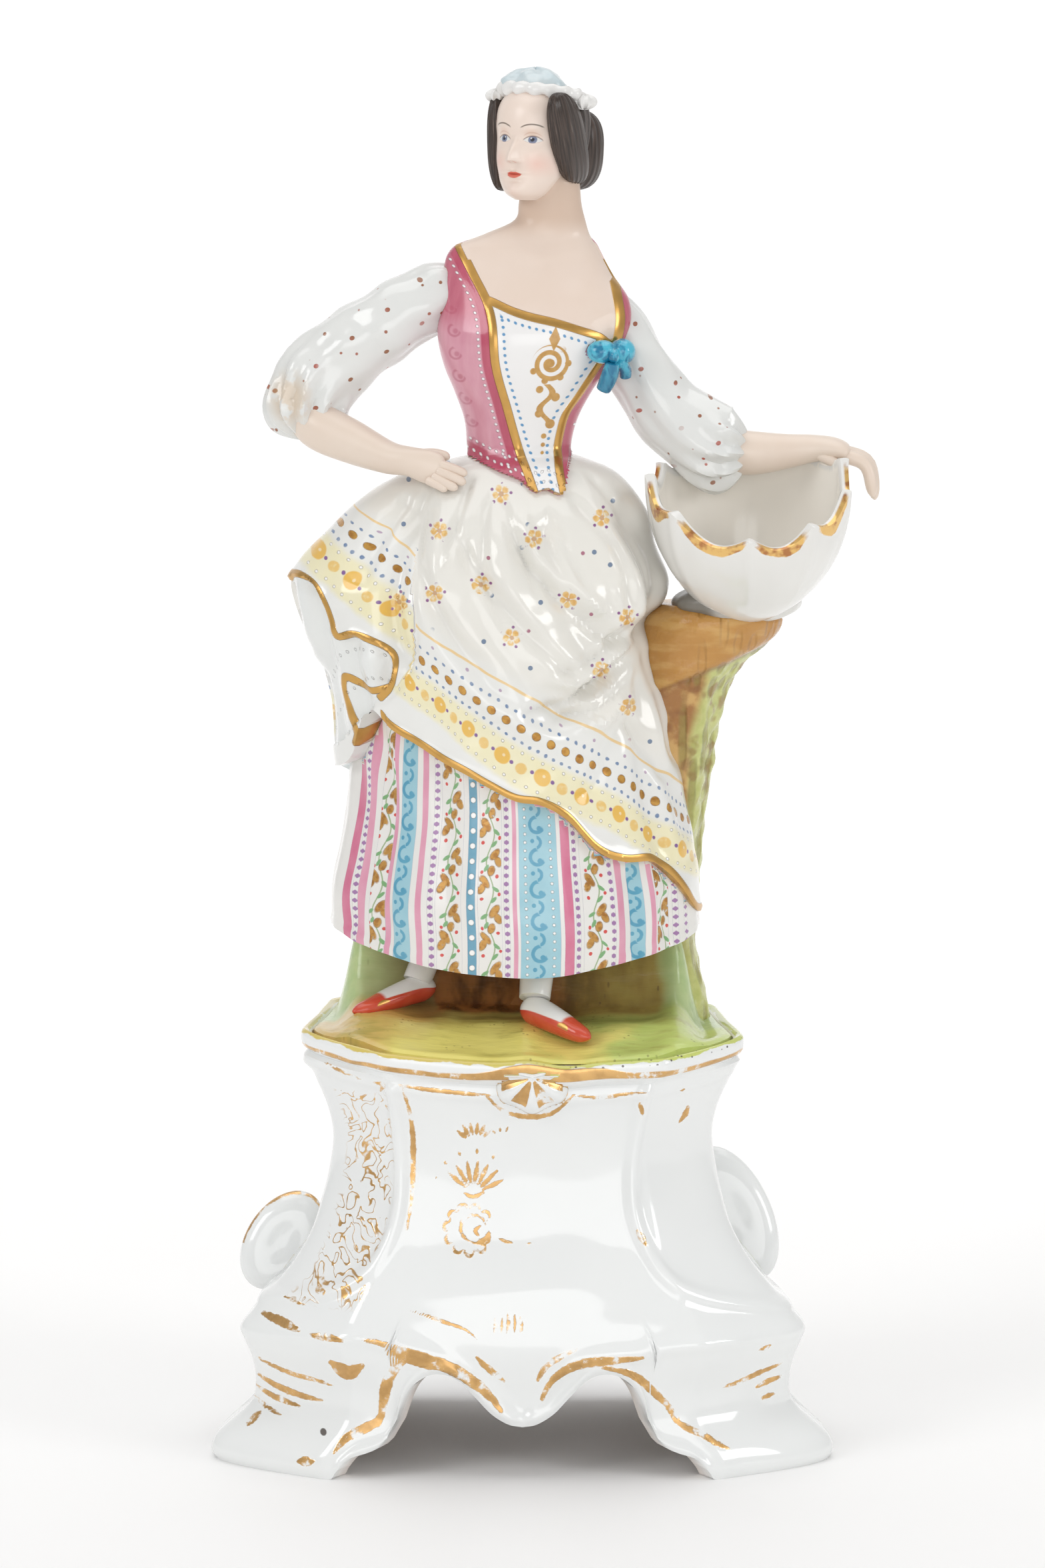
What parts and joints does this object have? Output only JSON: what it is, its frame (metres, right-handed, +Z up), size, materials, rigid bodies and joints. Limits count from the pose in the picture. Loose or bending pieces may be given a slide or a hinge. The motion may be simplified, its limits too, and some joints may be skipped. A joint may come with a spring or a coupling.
{
  "type": "porcelain maid figurine on a stand",
  "caption": "Glazed porcelain figure of a maid, one hand on her hip and one on a lobed bowl on a tree stump, on a white rococo stand with gilding.",
  "frame": {"origin": "middle of the overall box, on the surface that the stand's feet rest on", "axes": "+Z up; +Y from the figure's front to its back; +X to the viewer's right"},
  "size_m": [0.1534, 0.083, 0.32],
  "materials": {
    "painted_porcelain": "painted enamels and gold under and over clear glaze, skin matt bisque",
    "white_porcelain": "white, clear glaze, worn gilding"
  },
  "bodies": {
    "root": {"maid": "painted_porcelain", "plinth": "white_porcelain"}
  },
  "joints": []
}
